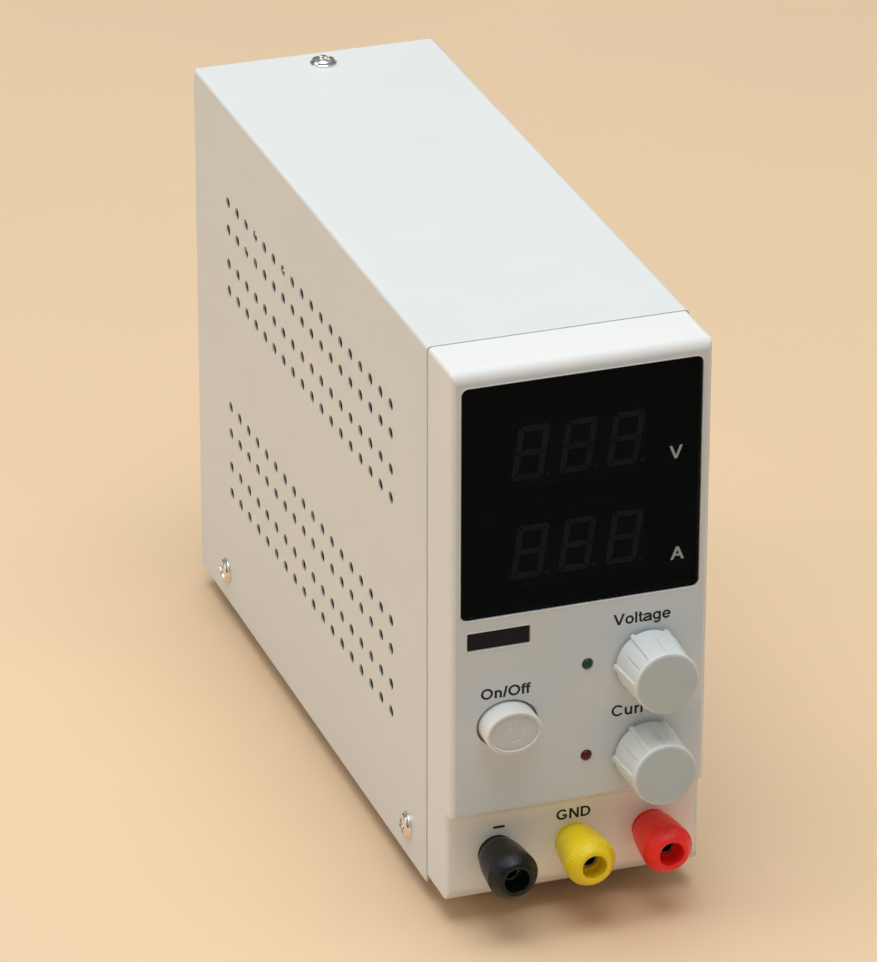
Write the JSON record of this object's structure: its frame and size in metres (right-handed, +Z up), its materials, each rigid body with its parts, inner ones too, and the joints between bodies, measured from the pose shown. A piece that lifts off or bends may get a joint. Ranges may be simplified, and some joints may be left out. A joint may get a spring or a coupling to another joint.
{
  "type": "bench power supply",
  "caption": "Tall narrow bench power supply with digital volt and amp displays, two control knobs, a push switch and a row of screw-down output posts.",
  "frame": {"origin": "centre of the bounding box at the level of the feet", "axes": "+Z up, -Y towards the front panel, +X to the right as seen from the front"},
  "size_m": [0.0772, 0.2428, 0.1679],
  "materials": {
    "cover_paint": "fine powder coat",
    "chassis_steel": "zinc plated",
    "bezel_plastic": "fine moulded texture",
    "window_acrylic": "polished smoked acrylic",
    "label_plastic": "satin",
    "screw_nickel": "bright nickel",
    "screw_zinc": "zinc plated",
    "rubber_black": "matt",
    "pcb_green": "solder mask",
    "display_plastic": "matt face",
    "led_green": "tinted clear, unlit",
    "led_red": "tinted clear, unlit",
    "pot_metal": "satin",
    "shaft_steel": "turned",
    "knob_plastic": "satin",
    "button_plastic": "satin",
    "switch_plastic": "moulded",
    "spring_steel": "bright wire",
    "post_metal": "nickel plated",
    "cap_black": "satin",
    "cap_yellow": "satin",
    "cap_red": "satin",
    "insert_brass": "turned",
    "fan_plastic": "moulded",
    "guard_chrome": "bright wire",
    "inlet_plastic": "moulded",
    "fuse_glass": "clear tube with metal ends",
    "selector_red": "moulded",
    "ferrite": "ferrite and tape",
    "capacitor_sleeve": "shrink sleeve",
    "heatsink_aluminium": "extruded",
    "transistor_epoxy": "epoxy",
    "copper_winding": "enamelled wire",
    "filter_plastic": "moulded",
    "cable_pvc": "PVC",
    "ribbon_grey": "PVC"
  },
  "bodies": {
    "case": {"top_cover": "cover_paint", "chassis": "chassis_steel", "front_bezel": "bezel_plastic", "display_window": "window_acrylic", "label_plate": "label_plastic", "cover_screws": "screw_nickel", "bezel_screws": "screw_zinc", "rubber_feet": "rubber_black", "foot_screws": "screw_zinc", "display_board": "pcb_green", "voltage_display": "display_plastic", "current_display": "display_plastic", "control_board": "pcb_green", "green_led": "led_green", "red_led": "led_red", "potentiometers": "pot_metal", "pot_nuts": "screw_zinc", "power_switch": "switch_plastic", "switch_spring": "spring_steel", "post_studs": "post_metal", "post_nuts": "post_metal", "black_collar": "cap_black", "yellow_collar": "cap_yellow", "red_collar": "cap_red", "fan_frame": "fan_plastic", "fan_guard": "guard_chrome", "fan_screws": "screw_zinc", "mains_inlet": "inlet_plastic", "inlet_pins": "post_metal", "rear_screws": "screw_zinc", "voltage_selector": "switch_plastic", "main_board": "pcb_green", "board_standoffs": "insert_brass", "board_screws": "screw_zinc", "transformer": "ferrite", "bulk_capacitors": "capacitor_sleeve", "output_capacitors": "capacitor_sleeve", "heatsinks": "heatsink_aluminium", "power_transistors": "transistor_epoxy", "output_inductor": "copper_winding", "line_filter": "filter_plastic", "output_cables": "cable_pvc", "ribbon_cable": "ribbon_grey"},
    "power_button": {"power_button": "button_plastic", "switch_plunger": "button_plastic"},
    "voltage_knob": {"voltage_knob": "knob_plastic", "voltage_shaft": "shaft_steel"},
    "current_knob": {"current_knob": "knob_plastic", "current_shaft": "shaft_steel"},
    "black_insert": {"black_insert": "insert_brass"},
    "black_cap": {"black_cap": "cap_black"},
    "yellow_insert": {"yellow_insert": "insert_brass"},
    "yellow_cap": {"yellow_cap": "cap_yellow"},
    "red_insert": {"red_insert": "insert_brass"},
    "red_cap": {"red_cap": "cap_red"},
    "fan_rotor": {"fan_rotor": "fan_plastic"},
    "fuse_drawer": {"fuse_drawer": "inlet_plastic", "fuse": "fuse_glass"},
    "selector_slider": {"selector_slider": "selector_red"}
  },
  "joints": [
    {"name": "power_button_press", "type": "slide", "parent": "case", "child": "power_button", "axis": [0, 1, 0], "range_m": [0, 0.0035], "deforming": ["switch_spring"]},
    {"name": "voltage_knob_turn", "type": "hinge", "parent": "case", "child": "voltage_knob", "pos_m": [0.0194, -0.10625, 0.0738], "axis": [0, -1, 0], "range_deg": [-150, 150]},
    {"name": "current_knob_turn", "type": "hinge", "parent": "case", "child": "current_knob", "pos_m": [0.0194, -0.10625, 0.0461], "axis": [0, -1, 0], "range_deg": [-150, 150]},
    {"name": "black_cap_advance", "type": "slide", "parent": "case", "child": "black_insert", "axis": [0, -1, 0], "range_m": [0, 0.004]},
    {"name": "black_cap_unscrew", "type": "hinge", "parent": "black_insert", "child": "black_cap", "pos_m": [-0.0222, -0.11125, 0.0208], "axis": [0, -1, 0], "range_deg": [0, 1440]},
    {"name": "yellow_cap_advance", "type": "slide", "parent": "case", "child": "yellow_insert", "axis": [0, -1, 0], "range_m": [0, 0.004]},
    {"name": "yellow_cap_unscrew", "type": "hinge", "parent": "yellow_insert", "child": "yellow_cap", "pos_m": [0, -0.11125, 0.0208], "axis": [0, -1, 0], "range_deg": [0, 1440]},
    {"name": "red_cap_advance", "type": "slide", "parent": "case", "child": "red_insert", "axis": [0, -1, 0], "range_m": [0, 0.004]},
    {"name": "red_cap_unscrew", "type": "hinge", "parent": "red_insert", "child": "red_cap", "pos_m": [0.0222, -0.11125, 0.0208], "axis": [0, -1, 0], "range_deg": [0, 1440]},
    {"name": "fan_spin", "type": "hinge", "parent": "case", "child": "fan_rotor", "pos_m": [0, 0.10845, 0.124], "axis": [0, 1, 0], "continuous": true},
    {"name": "fuse_drawer_pull", "type": "slide", "parent": "case", "child": "fuse_drawer", "axis": [0, 1, 0], "range_m": [0, 0.014]},
    {"name": "selector_slide", "type": "slide", "parent": "case", "child": "selector_slider", "axis": [1, 0, 0], "range_m": [0, 0.005]}
  ],
  "couplings": [
    {"joint": "black_cap_unscrew", "follows": "black_cap_advance", "rad_per_m": 6283.2},
    {"joint": "yellow_cap_unscrew", "follows": "yellow_cap_advance", "rad_per_m": 6283.2},
    {"joint": "red_cap_unscrew", "follows": "red_cap_advance", "rad_per_m": 6283.2}
  ]
}
